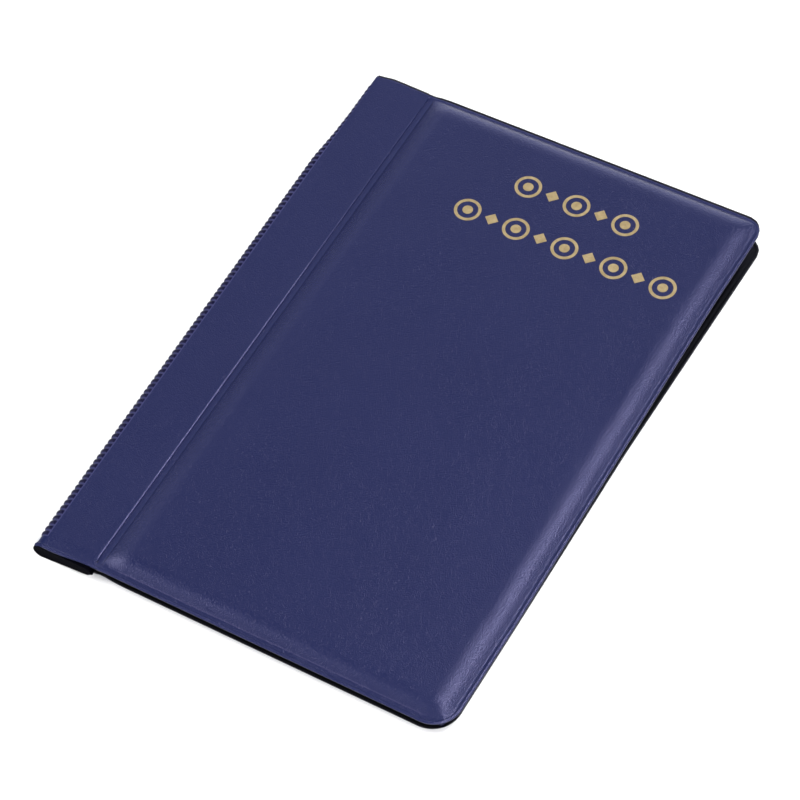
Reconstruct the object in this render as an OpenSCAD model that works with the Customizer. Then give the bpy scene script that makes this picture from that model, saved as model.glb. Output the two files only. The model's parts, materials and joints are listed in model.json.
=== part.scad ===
// Pocket coin album: padded vinyl covers that fold at a crease, and clear pocket pages
// whose roots are held in a binding block inside the spine.
// X runs from the spine to the fore-edge, Y from the foot to the head, Z up.

/* [Album] */
// Height of the album, from foot to head
album_l = 205; // [190:1:240]
// Width of the album, from the spine fold to the fore-edge
album_w = 137.3; // [125:1:160]
// Radius of the cover corners at the fore-edge
corner_r = 8.5; // [5:0.5:12]

/* [Spine] */
// Width from the spine fold to the start of the crease
strip_w = 20.4; // [16:0.1:26]
// Width of the crease at which a cover folds
crease_w = 3; // [2.8:0.1:4]
// Spacing of the ribs pressed into the spine fold
rib_pitch = 2.09; // [1.8:0.01:4]
// How far the ribs stand out of the fold
rib_h = 0.3; // [0.2:0.05:0.5]
// Plain length of the fold below the first rib
rib_foot_margin = 3; // [2:0.5:12]
// Plain length of the fold above the last rib
rib_head_margin = 10; // [2:0.5:12]

/* [Covers] */
// Thickness of the blue vinyl skin
skin_t = 0.35; // [0.3:0.05:0.5]
// Thickness of the foam padding in the front cover
front_foam_t = 1; // [0.8:0.1:1.4]
// Thickness of the foam padding in the back cover
back_foam_t = 0.7; // [0.5:0.1:1]
// Thickness of the stiffening boards
board_t = 0.7; // [0.5:0.1:1]
// Thickness of the black lining
lining_t = 0.25; // [0.2:0.05:0.3]
// Width of the flat welded hem round a cover
hem_w = 2.4; // [2:0.1:3]
// Thickness of the hem, where skin and lining are welded together
hem_t = 0.5; // [0.4:0.05:0.6]
// Width of the slope from a hem up to the top of the padding
slope_w = 8; // [6:0.5:10]
// Width of the slope from the crease up to the top of the padding
crease_slope_w = 5; // [4:0.5:8]

/* [Foil motif] */
// Radius of the coin rings in the foil motif
ring_r = 4.3; // [3:0.1:4.5]
// Width of the foil line of a ring
ring_w = 1; // [0.5:0.1:1.5]
// Half diagonal of the lozenges between the rings
lozenge_r = 2.3; // [1.5:0.1:3]
// Spacing of the marks in a row
mark_pitch = 8.4; // [8.2:0.1:9]
// Thickness of the gold foil
foil_t = 0.05; // [0.04:0.01:0.1]

/* [Pages] */
// Number of pocket pages, half of which turn with each cover
page_count = 10; // [2:2:12]
// Columns of coin pockets on a page
pocket_columns = 3; // [2:1:4]
// Rows of coin pockets on a page
pocket_rows = 6; // [4:1:7]
// Thickness of the clear film
film_t = 0.09; // [0.08:0.01:0.12]
// Gap between the two films of an empty pocket
pocket_gap = 0.08; // [0.07:0.01:0.1]
// Free space between one page and the next
page_play = 0.06; // [0.05:0.01:0.1]
// Distance from the edge of the covers to the edge of the pages
page_inset = 4; // [3.5:0.5:6]
// Width of the welds between pockets
weld_w = 1.6; // [1.2:0.1:2.4]
// Height of the open mouth between a pocket's film and the weld above it
mouth_h = 1.6; // [1:0.1:3]
// Length of the flap that is tucked into the mouth of a pocket
flap_l = 9; // [5:0.5:12]

/* [Hidden] */
$fn = 48;
slope_steps = 6;    // flat facets across each padded slope
fit = 0.3;          // clearance between a cover or page and the spine web it folds at
pocket_side_play = 1.2;
flap_t = 0.04;
page_corner_r = 3;
eps = 0.01;

half_l = album_l / 2;
half_w = album_w / 2;

// Levels, from the face that lies on the table upwards
back_lining_top = skin_t + back_foam_t + board_t + lining_t;
page_t = 2 * film_t + pocket_gap;
page_pitch = page_t + page_play;
pages_z = back_lining_top + page_play;
front_lining_z = pages_z + page_count * page_pitch;
front_top = front_lining_z + lining_t + board_t + front_foam_t + skin_t;
spine_t = front_lining_z;   // the strips end level with the front hem

// Stations along X
crease_x = -half_w + strip_w;            // weld line that closes the spine
hinge_x = crease_x + crease_w / 2;       // axis on which covers and pages fold
web_end = hinge_x + crease_w / 2 - fit;
cover_x = web_end + fit;                 // inner edge of the covers and pages
fore_x = half_w;
page_fore_x = half_w - page_inset;
page_half_l = half_l - page_inset;

// Foil motif: two centred rows, near the head of the front cover
motif_rows = [[15.2, 81, 5], [19.5, 64.5, 9]];   // x and y of the middle, number of marks

SHELL_NODES = ["spine_skin", "spine_lining", "binding_block",
    "front_skin", "front_foam", "front_board", "front_lining", "foil_motif",
    "back_skin", "back_foam", "back_board", "back_lining"];
PAGE_PIECES = ["leaf", "pockets", "flaps"];
function two_digits(n) = n < 10 ? str("0", n) : str(n);
function page_node(n, piece) = str("page_", two_digits(n), "_", piece);

BLUE = [0.16, 0.17, 0.34];
BLACK = [0.06, 0.06, 0.07];
FOAM = [0.86, 0.84, 0.76];
BOARD = [0.55, 0.52, 0.46];
GOLD = [0.75, 0.64, 0.42];
CLEAR = [0.82, 0.88, 0.92, 0.35];

// An outline in X and Z, drawn out along Y over the album's height less an inset at both ends
module along_y(inset = 0) {
    translate([0, half_l - inset, 0]) rotate([90, 0, 0])
        linear_extrude(album_l - 2 * inset) children();
}

// A slab between two corners
module slab(low, high) {
    translate(low) cube(high - low);
}

// ---------- covers ----------

// Section of a padded cover: straight base, rounded slope at each end, flat crown
function pad_outline(a, b, base, crown, slope_a, slope_b) = concat(
    [for (i = [0 : slope_steps])
        [a + slope_a * i / slope_steps, base + (crown - base) * sin(90 * i / slope_steps)]],
    [for (i = [slope_steps : -1 : 0])
        [b - slope_b * i / slope_steps, base + (crown - base) * sin(90 * i / slope_steps)]]);

// Plan of a cover: square at the crease, round corners at the fore-edge
module cover_plan(inset) {
    r = corner_r - inset;
    edge = fore_x - inset;
    side = half_l - inset;
    translate([cover_x, -side]) square([edge - r - cover_x, 2 * side]);
    translate([edge - r - 1, -side + r]) square([r + 1, 2 * (side - r)]);
    for (s = [-1, 1]) translate([edge - r, s * (side - r)]) circle(r);
}

// Padded body of a cover, shrunk by wall on every side but its base
module pad(base, crown, wall) {
    top = crown + (crown > base ? -wall : wall);
    intersection() {
        along_y() polygon(pad_outline(cover_x + wall, fore_x - hem_w - wall, base, top,
            crease_slope_w, slope_w));
        rotate([90, 0, 90]) translate([0, 0, -half_w]) linear_extrude(album_w)
            polygon(pad_outline(-half_l + hem_w + wall, half_l - hem_w - wall, base, top,
                slope_w, slope_w));
        translate([0, 0, -1]) linear_extrude(front_top + 2) cover_plan(hem_w + wall);
    }
}

// Vinyl skin of a cover: padded shell with its welded hem, open towards the pages
module cover_skin(base, crown) {
    faces_up = crown > base;
    hem_z = faces_up ? base - hem_t : base;
    difference() {
        union() {
            pad(base, crown, 0);
            translate([0, 0, hem_z]) linear_extrude(hem_t) cover_plan(0);
        }
        pad(base, crown, skin_t);
        translate([0, 0, faces_up ? hem_z - 1 : base - eps])
            linear_extrude(hem_t + 1 + eps) opening_plan();
    }
}

// Opening of a skin inside its hem, run out past the crease side, which has no hem
module opening_plan() {
    rim = hem_w + skin_t;
    cover_plan(rim);
    translate([cover_x - 1, rim - half_l]) square([2, album_l - 2 * rim]);
}

// Plate under the padding, short of the foot of every slope
module board_at(z) {
    rim = slope_w / 2 + 1;
    slab([cover_x + crease_slope_w / 2 + 1, -half_l + hem_w + rim, z],
        [fore_x - hem_w - rim, half_l - hem_w - rim, z + board_t]);
}

// Full sheet between two levels, from which a layer inside a cover is cut
module layer(low, high) {
    slab([-half_w, -half_l, low], [half_w, half_l, high]);
}

module front_skin() {
    color(BLUE) cover_skin(front_lining_z, front_top);
}

module front_lining() {
    color(BLACK) intersection() {
        layer(front_lining_z, front_lining_z + lining_t);
        pad(front_lining_z, front_top, skin_t);
    }
}

module front_board() {
    color(BOARD) board_at(front_lining_z + lining_t);
}

module front_foam() {
    color(FOAM) difference() {
        pad(front_lining_z, front_top, skin_t);
        layer(0, front_lining_z + lining_t);
        board_at(front_lining_z + lining_t);
    }
}

module back_skin() {
    color(BLUE) cover_skin(back_lining_top, 0);
}

module back_lining() {
    color(BLACK) intersection() {
        layer(back_lining_top - lining_t, back_lining_top);
        pad(back_lining_top, 0, skin_t);
    }
}

module back_board() {
    color(BOARD) board_at(back_lining_top - lining_t - board_t);
}

module back_foam() {
    color(FOAM) difference() {
        pad(back_lining_top, 0, skin_t);
        layer(back_lining_top - lining_t, front_top);
        board_at(back_lining_top - lining_t - board_t);
    }
}

// Gold foil on the front cover: rows of plain coin rings with lozenges between them
module foil_ring() {
    difference() {
        circle(ring_r);
        circle(ring_r - ring_w);
    }
    circle(ring_r / 2.6);
}

module foil_row(marks) {
    for (i = [0 : marks - 1]) translate([(i - (marks - 1) / 2) * mark_pitch, 0])
        if (i % 2 == 0) foil_ring();
        else rotate(45) square(lozenge_r * sqrt(2), center = true);
}

module foil_motif() {
    color(GOLD) translate([0, 0, front_top]) linear_extrude(foil_t)
        for (row = motif_rows) translate([row[0], row[1]]) foil_row(row[2]);
}

// ---------- spine ----------

// Section of the spine: two strips joined by a round fold, filled, ending at end_x
module spine_section(inset, end_x) {
    r = spine_t / 2 - inset;
    fold_x = -half_w + rib_h + spine_t / 2;
    translate([fold_x, spine_t / 2]) circle(r);
    translate([fold_x, inset]) square([end_x - fold_x, 2 * r]);
}

// Spine skin: strips, fold with its ribs, and the thin webs that the covers fold on
module spine_skin() {
    web_rise = 0.25;
    color(BLUE) union() {
        along_y() difference() {
            spine_section(0, crease_x);
            spine_section(skin_t, crease_x + 1);
        }
        for (z = [web_rise, spine_t - web_rise - skin_t])
            slab([crease_x - skin_t, -half_l, z], [web_end, half_l, z + skin_t]);
        spine_ribs();
    }
}

// Short half-round ribs on the outside of the fold
module spine_ribs() {
    rib_l = rib_pitch / 2;
    count = floor((album_l - rib_foot_margin - rib_head_margin) / rib_pitch);
    fold_x = -half_w + rib_h + spine_t / 2;
    for (i = [0 : count - 1])
        translate([fold_x, -half_l + rib_foot_margin + i * rib_pitch + rib_l, spine_t / 2])
            rotate([90, 0, 0]) linear_extrude(rib_l) rib_section();
}

module rib_section() {
    outer = spine_t / 2 + rib_h;
    intersection() {
        difference() {
            circle(outer);
            circle(spine_t / 2 - skin_t / 2);
        }
        translate([-outer, -outer]) square([outer * 0.7, 2 * outer]);
        translate([-outer, -spine_t / 2]) square([outer, spine_t]);
    }
}

module spine_lining() {
    color(BLACK) along_y(hem_t) difference() {
        spine_section(skin_t, crease_x - skin_t);
        spine_section(skin_t + lining_t, crease_x);
    }
}

// Stack of page roots and spacers, welded into one block
module binding_block() {
    color(BLACK) along_y(hem_t) spine_section(skin_t + lining_t, crease_x - skin_t);
}

// ---------- pages ----------

page_l = 2 * page_half_l;
row_h = page_l / pocket_rows;
column_w = (page_fore_x - cover_x) / pocket_columns;
function page_z(n) = front_lining_z - n * page_pitch;    // page 1 lies under the front cover
function row_y(row) = -page_half_l + row * row_h;
function column_x(column) = cover_x + column * column_w;

// Backing film of a page, with round corners at the fore-edge
module page_leaf(n) {
    r = page_corner_r;
    color(CLEAR) translate([0, 0, page_z(n)]) linear_extrude(film_t) union() {
        translate([cover_x, -page_half_l]) square([page_fore_x - r - cover_x, page_l]);
        translate([page_fore_x - r - 1, -page_half_l + r]) square([r + 1, page_l - 2 * r]);
        for (s = [-1, 1]) translate([page_fore_x - r, s * (page_half_l - r)]) circle(r);
    }
}

// Plan cut that keeps a row's films inside the round page corners
module row_plan(y0, y1) {
    intersection() {
        translate([cover_x, y0]) square([page_fore_x - cover_x - 1, y1 - y0]);
        translate([cover_x, -page_half_l + 0.4])
            square([page_fore_x - cover_x, page_l - 0.8]);
    }
}

// Pocket films: one strip to a row, open at its mouth and welded down round each pocket
module page_pockets(n) {
    z = page_z(n) + film_t;
    for (row = [0 : pocket_rows - 1]) {
        y0 = row_y(row);
        y1 = row_y(row + 1) - weld_w - mouth_h;
        color(CLEAR) difference() {
            translate([0, 0, z]) linear_extrude(pocket_gap + film_t) row_plan(y0, y1);
            for (column = [0 : pocket_columns - 1])
                slab([column_x(column) + weld_w, y0 + weld_w, z - 1],
                    [column_x(column + 1) - weld_w, y1 + 1, z + pocket_gap]);
        }
    }
}

// Flaps: one strip to a row, welded along the top of the row, with a tongue in each mouth
module page_flaps(n) {
    z = page_z(n) + film_t;
    for (row = [0 : pocket_rows - 1]) {
        y1 = row_y(row + 1) - 0.1;
        y0 = y1 - weld_w;
        color(CLEAR) union() {
            translate([0, 0, z]) linear_extrude(pocket_gap + film_t) row_plan(y0, y1);
            for (column = [0 : pocket_columns - 1])
                slab([column_x(column) + weld_w + pocket_side_play, y0 - flap_l,
                        z + (pocket_gap - flap_t) / 2],
                    [column_x(column + 1) - weld_w - pocket_side_play, y0 + 0.1,
                        z + (pocket_gap + flap_t) / 2]);
        }
    }
}

// ---------- nodes ----------

spine_skin();
spine_lining();
binding_block();
front_skin();
front_foam();
front_board();
front_lining();
foil_motif();
back_skin();
back_foam();
back_board();
back_lining();
for (n = [1 : page_count]) {
    page_leaf(n);
    page_pockets(n);
    page_flaps(n);
}
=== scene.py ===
import json
import math

import bpy
import numpy as np
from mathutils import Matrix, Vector

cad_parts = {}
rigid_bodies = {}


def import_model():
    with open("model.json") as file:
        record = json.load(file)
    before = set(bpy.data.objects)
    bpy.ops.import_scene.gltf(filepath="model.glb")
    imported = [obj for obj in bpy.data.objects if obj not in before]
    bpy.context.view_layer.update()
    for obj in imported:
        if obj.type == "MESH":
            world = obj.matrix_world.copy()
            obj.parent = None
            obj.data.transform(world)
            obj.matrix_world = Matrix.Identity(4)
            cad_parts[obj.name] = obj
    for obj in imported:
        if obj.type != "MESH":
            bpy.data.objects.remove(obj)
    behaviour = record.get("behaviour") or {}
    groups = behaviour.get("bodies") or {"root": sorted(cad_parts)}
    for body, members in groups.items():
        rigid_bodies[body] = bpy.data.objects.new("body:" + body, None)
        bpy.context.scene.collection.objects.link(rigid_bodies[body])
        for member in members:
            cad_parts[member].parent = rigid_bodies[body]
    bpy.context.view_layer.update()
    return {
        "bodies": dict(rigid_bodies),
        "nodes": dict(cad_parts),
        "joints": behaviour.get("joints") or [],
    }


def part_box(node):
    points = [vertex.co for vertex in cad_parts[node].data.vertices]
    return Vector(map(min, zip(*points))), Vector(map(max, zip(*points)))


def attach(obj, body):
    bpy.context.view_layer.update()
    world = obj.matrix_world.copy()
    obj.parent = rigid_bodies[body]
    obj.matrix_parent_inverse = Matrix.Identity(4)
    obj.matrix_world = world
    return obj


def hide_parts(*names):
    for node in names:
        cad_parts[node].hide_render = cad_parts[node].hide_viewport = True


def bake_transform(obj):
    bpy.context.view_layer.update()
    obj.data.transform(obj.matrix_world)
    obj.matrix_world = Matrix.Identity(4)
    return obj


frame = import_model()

# A closed coin album with padded vinyl covers, lying on its back cover. Lengths are in
# millimetres until a mesh is made. X runs from the spine to the fore-edge, Y from the foot
# to the head, and Z up through the closed album.
MM = 0.001


def box_mm(node):
    """Lowest and highest corner of a CAD node."""
    low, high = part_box(node)
    return np.array(low) / MM, np.array(high) / MM


# ---------- places and sizes, from the frame ----------

spine_low, spine_high = box_mm("spine_skin")
front_low, front_high = box_mm("front_skin")
front_lining_low, front_lining_high = box_mm("front_lining")
front_board_low, front_board_high = box_mm("front_board")
back_lining_low, back_lining_high = box_mm("back_lining")
back_board_low = box_mm("back_board")[0]
page_bodies = sorted(b for b in frame["bodies"] if b.startswith("page_"))

HALF_L = spine_high[1]                  # from the middle to the foot or head edge
FORE_X = front_high[0]                  # fore-edge of the covers
COVER_X = front_low[0]                  # inner edge of the padded covers, past the crease
HEM_Z = front_lining_low[2]             # level of the front strip and of the front hem
FRONT_TOP = front_high[2]
BACK_HEM_Z = back_lining_high[2]        # level of the back hem
SPINE_T = spine_high[2]                 # thickness over both strips
BLOCK_X = box_mm("binding_block")[1][0]  # side of the root block towards the pages
hinge_at = {j["name"]: np.array(j["pos_m"]) / MM for j in frame["joints"]}
HINGE_X = hinge_at["front_cover_hinge"][0]
CREASE_X = 2 * HINGE_X - COVER_X        # weld line at the spine side of the crease
RIB_H = 0.3                             # height of the ribs on the CAD's spine
FOLD_R = SPINE_T / 2
FOLD_X = spine_low[0] + RIB_H + FOLD_R  # middle of the round spine fold
BEND = (CREASE_X - 0.2, COVER_X + 1.1)  # X span passed to bend(), which does not fold the covers

SKIN_T = 0.33
LINING_T = 0.16
GAP = 0.03                              # clearance between layers
END_ZONE = 3.0                          # a head or foot edge is moved over this length of it
HEM_W = 2.35                            # from the foot edge to the foot of the padding
HEAD_HEM_W = 1.35                       # the same at the head
FORE_HEM_W = 1.75                       # and at the fore-edge
FOOT_CORNER_R = 9.0
HEAD_CORNER_R = 5.5
FOOT_STEP = 1.0                         # the strip stands out this far at the foot
HEAD_STEP = 0.7                         # the blue skin stops this far short of the head edge
PAD_START = 0.9                         # the padding starts this far before COVER_X
RIM = 5.0                               # width of the band that is meshed in rings
STRIP_TAPER = 1.45                      # the back strip rises by this towards the crease
WRAP_R = FOLD_R - SKIN_T - 0.12         # outside of the black lining in the spine
BLOCK_R = WRAP_R - 0.18                 # half thickness of the binding block
END_Y = -HALF_L - 1.15                  # the block stands out this far at the foot


# ---------- small helpers ----------

def smooth(a, b, x):
    """0 at a to 1 at b, level at both."""
    t = np.clip((x - a) / (b - a), 0, 1)
    return t * t * (3 - 2 * t)


def at_head(y):
    """0 to 1 over the last stretch before the head edge."""
    return smooth(HALF_L - END_ZONE, HALF_L, y)


def at_foot(y):
    """0 to 1 over the last stretch before the foot edge."""
    return smooth(END_ZONE - HALF_L, -HALF_L, y)


def bump(x, middle, half_width):
    """Half-round ridge, 1 high."""
    return np.sqrt(np.clip(1 - ((x - middle) / half_width) ** 2, 0, 1))


def waves(x, y, seed, length, terms=7):
    """Soft random undulation of about unit height, with waves near the given length."""
    rng = np.random.default_rng(seed)
    total = np.zeros_like(x, dtype=float)
    for _ in range(terms):
        angle = rng.uniform(0, math.pi)
        k = 2 * math.pi / (length * rng.uniform(0.7, 1.6))
        phase = rng.uniform(0, 2 * math.pi)
        total += np.sin(k * (math.cos(angle) * x + math.sin(angle) * y) + phase)
    return total / math.sqrt(terms)


def graded(length, fine, coarse, zone_a, zone_b, tip_a, tip_b):
    """Fractions from 0 to 1 along a length, spaced finely in a zone at each end and still
    finer at its two tips, where the steps start at the given sizes."""
    growth = 0.3
    at = [0.0]
    while at[-1] < length:
        s = at[-1]
        left = length - s
        near = min(s / zone_a, left / zone_b)
        step = fine + (coarse - fine) * min(max(near - 0.6, 0) / 0.8, 1)
        at.append(s + min(step, tip_a + growth * s, tip_b + growth * left))
    at = np.array(at)
    return at / at[-1]


class Plan:
    """A flat mesh in X and Y built from patches that share the points where they meet."""

    def __init__(self):
        self.index = {}
        self.points = []
        self.faces = []

    def point(self, p):
        key = (round(float(p[0]), 4), round(float(p[1]), 4))
        if key not in self.index:
            self.index[key] = len(self.points)
            self.points.append(key)
        return self.index[key]

    def patch(self, grid):
        ids = [[self.point(p) for p in row] for row in grid]
        for r in range(len(ids) - 1):
            for c in range(len(ids[0]) - 1):
                quad = [ids[r][c], ids[r][c + 1], ids[r + 1][c + 1], ids[r + 1][c]]
                if len(set(quad)) == 4:
                    self.faces.append(self.upward(quad))

    def upward(self, quad):
        p = [self.points[i] for i in quad]
        area = sum(p[i][0] * p[(i + 1) % 4][1] - p[(i + 1) % 4][0] * p[i][1] for i in range(4))
        return quad if area > 0 else quad[::-1]

    def xy(self):
        pts = np.array(self.points)
        return pts[:, 0], pts[:, 1]


def closed_sheet(plan, top, bottom):
    """Points and faces of a solid sheet over a plan, between two heights at each point."""
    x, y = plan.xy()
    n = len(x)
    points = np.concatenate([np.stack([x, y, top], 1), np.stack([x, y, bottom], 1)])
    faces = [list(f) for f in plan.faces] + [[i + n for i in reversed(f)] for f in plan.faces]
    edges = {(f[i], f[(i + 1) % len(f)]) for f in plan.faces for i in range(len(f))}
    faces += [[b, a, a + n, b + n] for a, b in edges if (b, a) not in edges]
    return points, faces


def piece(name, points, faces, material, body, replaces, sharp=45):
    """A smooth-shaded mesh that rides on a body, or is left unattached if there is none."""
    mesh = bpy.data.meshes.new(name)
    mesh.from_pydata((np.asarray(points) * MM).tolist(), [], faces)
    mesh.materials.append(material)
    mesh.shade_smooth()
    mesh.set_sharp_from_angle(angle=math.radians(sharp))
    mesh.validate()
    obj = bpy.data.objects.new(name, mesh)
    bpy.context.scene.collection.objects.link(obj)
    if replaces:
        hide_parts(*replaces)
    if body:
        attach(obj, body)
    return obj


def bend(obj, body, start_x, end_x):
    """Bakes a sheet's placement into its mesh; it does not fold the sheet, and body, start_x and
    end_x are not used.
    """
    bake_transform(obj)


# ---------- materials ----------

class Nodes:
    """Short hand for building the node tree of a material or of the world."""

    def __init__(self, owner, shader="Principled BSDF", place="Object"):
        self.owner = owner
        owner.use_nodes = True
        self.tree = owner.node_tree
        self.shader = self.tree.nodes[shader]
        self.place = self.add("ShaderNodeTexCoord").outputs[place]

    def add(self, kind, inputs=None, **settings):
        node = self.tree.nodes.new(kind)
        for key, value in settings.items():
            setattr(node, key, value)
        for key, value in (inputs or {}).items():
            self.feed(node.inputs[key], value)
        return node

    def feed(self, socket, value):
        if isinstance(value, bpy.types.NodeSocket):
            self.tree.links.new(value, socket)
        else:
            socket.default_value = value

    def noise(self, size_mm, detail=2.0, place=None):
        node = self.add("ShaderNodeTexNoise", {"Vector": place or self.place,
                                               "Scale": 1 / (size_mm * MM), "Detail": detail})
        return node.outputs["Fac"]

    def cells(self, size_mm, feature="SMOOTH_F1", place=None):
        node = self.add("ShaderNodeTexVoronoi", feature=feature)
        self.feed(node.inputs["Vector"], place or self.place)
        self.feed(node.inputs["Scale"], 1 / (size_mm * MM))
        return node.outputs["Distance"]

    def ramp(self, value, low, high, to_low=0.0, to_high=1.0):
        return self.add("ShaderNodeMapRange", {"Value": value, "From Min": low, "From Max": high,
                                               "To Min": to_low, "To Max": to_high}).outputs[0]

    def ramp_mm(self, place, low, high, to_low=0.0, to_high=1.0):
        """Ramp between two places given in millimetres."""
        return self.ramp(place, low * MM, high * MM, to_low, to_high)

    def math(self, operation, a, b=0):
        return self.add("ShaderNodeMath", {0: a, 1: b}, operation=operation).outputs[0]

    def product(self, first, *others):
        for other in others:
            first = self.math("MULTIPLY", first, other)
        return first

    def away(self, place, middle):
        """Distance from a place given in millimetres, to either side."""
        return self.math("ABSOLUTE", self.math("SUBTRACT", place, middle * MM))

    def xyz(self):
        return self.add("ShaderNodeSeparateXYZ", {0: self.place}).outputs

    def mix(self, fac, under, over):
        """One colour laid over another."""
        node = self.add("ShaderNodeMix", data_type="RGBA")
        for key, value in (("Factor", fac), ("A", under), ("B", over)):
            self.feed(node.inputs[key], value)
        return node.outputs["Result"]

    def relief(self, height, depth_mm, strength=1.0):
        return self.add("ShaderNodeBump", {"Height": height, "Distance": depth_mm * MM,
                                           "Strength": strength}).outputs["Normal"]

    def finish(self, **inputs):
        for key, value in inputs.items():
            self.feed(self.shader.inputs[key.replace("_", " ")], value)
        return self.owner


def material_nodes(name):
    return Nodes(bpy.data.materials.new(name))


def rgb(r, g, b):
    return (r, g, b, 1.0)


def leather_height(n, grain_mm):
    """Pressed leather grain: rounded pebbles between fine creases, with finer wrinkles."""
    warp_size, warp_reach, wrinkle_size, wrinkle_h = 2.2, 0.9, 0.5, 0.6
    warp = n.add("ShaderNodeTexNoise", {"Vector": n.place,
                                        "Scale": 1 / (warp_size * grain_mm * MM)})
    shift = n.add("ShaderNodeVectorMath", {0: warp.outputs["Color"]}, operation="SCALE")
    shift.inputs["Scale"].default_value = warp_reach * grain_mm * MM
    moved = n.add("ShaderNodeVectorMath", {0: n.place, 1: shift.outputs[0]}, operation="ADD")
    pebbles = n.cells(grain_mm, place=moved.outputs[0])
    fine = n.noise(wrinkle_size * grain_mm, 2.0)
    return n.math("ADD", n.math("MULTIPLY", pebbles, -1.0), n.math("MULTIPLY", fine, wrinkle_h))


def vinyl(name, dark, light, shine, grain_mm, depth_mm, rough, gloss, marks=None):
    """Calendered vinyl with a pressed leather grain and a shine of its own colour. Marks, if
    given, lays painted highlight and painted shade over its colour."""
    colour_patch, worn_patch, wear = 38.0, 14.0, 0.012
    n = material_nodes(name)
    height = leather_height(n, grain_mm)
    colour = n.mix(n.ramp(n.noise(colour_patch, 2.0), 0.1, 0.9), dark, light)
    # marks paints highlight and shade into the colour.
    if marks:
        colour = marks(n, colour)
    worn = n.ramp(n.noise(worn_patch, 2.0), 0.1, 0.9, rough - wear, rough + wear)
    return n.finish(Base_Color=colour, Roughness=worn, Specular_IOR_Level=gloss,
                    Specular_Tint=shine, Normal=n.relief(height, depth_mm))


def weld_painted_highlight(n, plain):
    """Painted highlight on the weld line of the front crease, weaker towards the head, and a
    fainter painted highlight on the weld line along the foot of the front cover."""
    x, y, z = n.xyz()
    above = n.ramp_mm(z, FRONT_FROM - 0.1, FRONT_FROM + 0.1)
    straight = n.math("SUBTRACT", x, n.math("MULTIPLY", y, CREASE_SLANT))
    line = n.ramp_mm(n.away(straight, CREASE_X - 0.02), 0.22, 0.1)
    start = n.ramp_mm(y, *WELD_FOOT)
    end = n.ramp_mm(y, *reversed(WELD_HEAD))
    fade = n.ramp_mm(y, -20, 65, 1.0, 0.12)
    crease = n.mix(n.product(line, start, fade, end, above), plain, CREASE_PAINTED_HIGHLIGHT)
    line = n.ramp_mm(n.away(y, HEM_W + 0.05 - HALF_L), 0.22, 0.08)
    start = n.ramp_mm(x, COVER_X + 3, COVER_X + 6)
    end = n.ramp_mm(x, FORE_X - 8.5, FORE_X - 10)
    return n.mix(n.product(line, above, start, end), crease, FOOT_WELD_PAINTED_HIGHLIGHT)


def fold_painted_shade_and_highlight(n, plain):
    """Painted shade on the ribs of the fold, on the side that turns away from the light, and
    painted highlight on the upper half of the seam beside them and on the pressed lines between
    them."""
    x, y, z = n.xyz()
    foot_end, head_end = RIB_FOOT - HALF_L, HALF_L - RIB_HEAD
    phase = n.math("MULTIPLY", n.math("SUBTRACT", y, foot_end * MM), math.pi / (RIB_PITCH * MM))
    lobe = n.math("ABSOLUTE", n.math("SINE", phase))
    ribs = n.mix(n.ramp(lobe, 0.4, 0.62), RIB_LINE_PAINTED_HIGHLIGHT, RIB_PAINTED_SHADE)
    rows = n.math("MULTIPLY", n.ramp_mm(y, foot_end - 0.1, foot_end + 0.3),
                  n.ramp_mm(y, head_end + 0.1, head_end - 0.3))
    over = n.ramp_mm(z, SPINE_T / 2, SPINE_T / 2 + 0.5)
    seam = n.mix(n.math("MULTIPLY", rows, over), plain, SEAM_PAINTED_HIGHLIGHT)
    pressed = n.ramp_mm(y, SQUEEZE_Y[0], SQUEEZE_Y[2], 1.0, SQUEEZE[2])
    from_fold = n.math("SUBTRACT", FOLD_X * MM, x)
    out = n.ramp_mm(n.math("DIVIDE", from_fold, pressed), 0.3, 0.42)
    return n.mix(n.math("MULTIPLY", out, rows), seam, ribs)


def clear_film():
    """Soft clear vinyl film, faintly blue, with shallow ripples."""
    n = material_nodes("clear_film")
    ripple = n.relief(n.noise(14.0, 1.0), 0.3, 0.4)
    shade = n.ramp(n.noise(25.0), 0.3, 0.7, 0.1, 0.2)
    n.owner.surface_render_method = "BLENDED"
    return n.finish(Base_Color=rgb(0.8, 0.88, 0.95), Roughness=shade, Normal=ripple,
                    Alpha=0.035, IOR=1.45)


def foam_sheet():
    """Cream polyether foam with open cells."""
    n = material_nodes("foam_sheet")
    pores = n.cells(0.5, "F1")
    colour = n.mix(n.ramp(pores, 0.1, 0.7), rgb(0.55, 0.5, 0.38), rgb(0.8, 0.76, 0.64))
    return n.finish(Base_Color=colour, Roughness=0.95, Normal=n.relief(pores, 0.3))


def grey_board():
    """Pressed grey-brown binder's board with short fibres."""
    n = material_nodes("grey_board")
    stretched = n.add("ShaderNodeMapping", {"Vector": n.place, "Scale": (1, 0.25, 1)}).outputs[0]
    fibres = n.noise(0.6, 5.0, stretched)
    colour = n.mix(n.ramp(fibres, 0.3, 0.7), rgb(0.24, 0.21, 0.17), rgb(0.42, 0.38, 0.31))
    return n.finish(Base_Color=colour, Roughness=0.9, Normal=n.relief(fibres, 0.05))


def gold_foil():
    """Hot-stamped foil: takes on the grain under it, with small breaks in its shine."""
    n = material_nodes("gold_foil")
    grain = n.cells(0.75)
    shade = n.ramp(n.noise(1.6, 4.0), 0.3, 0.7)
    colour = n.mix(shade, rgb(0.36, 0.27, 0.13), rgb(0.5, 0.39, 0.21))
    rough = n.ramp(n.noise(0.5, 3.0), 0.3, 0.7, 0.38, 0.6)
    return n.finish(Base_Color=colour, Metallic=0.75, Roughness=rough,
                    Normal=n.relief(grain, 0.03))


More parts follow.
